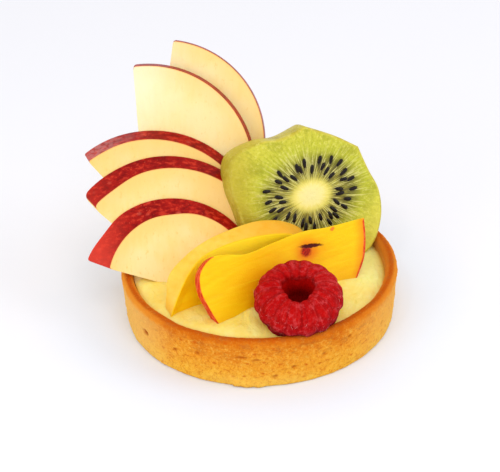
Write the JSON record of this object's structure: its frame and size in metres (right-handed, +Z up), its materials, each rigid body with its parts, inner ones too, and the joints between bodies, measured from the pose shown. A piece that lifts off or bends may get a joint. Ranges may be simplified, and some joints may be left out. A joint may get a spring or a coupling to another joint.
{
  "type": "fruit tart",
  "caption": "Round shortcrust tart shell filled with custard cream and topped with a standing fan of apple slices, a kiwi slice, nectarine slices and a raspberry.",
  "frame": {"origin": "middle of the crust's underside, on the surface the tart stands on", "axes": "+Z up; -Y is the front, where the raspberry lies; +X to the right, where the kiwi slice stands"},
  "size_m": [0.0906, 0.0801, 0.071],
  "materials": {
    "crust": "baked shortcrust, golden orange with browner rim, sandy and matte",
    "cream": "pale yellow custard cream, soft satin",
    "apple": "moist pale apple flesh with deep red skin along the arc",
    "kiwi": "moist green kiwi flesh with a pale core and black seeds",
    "nectarine": "moist golden nectarine flesh, thin red skin at the ends",
    "raspberry": "juicy crimson drupelets, darker inside the hollow"
  },
  "bodies": {
    "root": {"crust": "crust", "cream": "cream", "apple_slice_1": "apple", "apple_slice_2": "apple", "apple_slice_3": "apple", "apple_slice_4": "apple", "apple_slice_5": "apple", "kiwi_slice": "kiwi", "nectarine_slice_back": "nectarine", "nectarine_slice_front": "nectarine", "raspberry": "raspberry"}
  },
  "joints": []
}
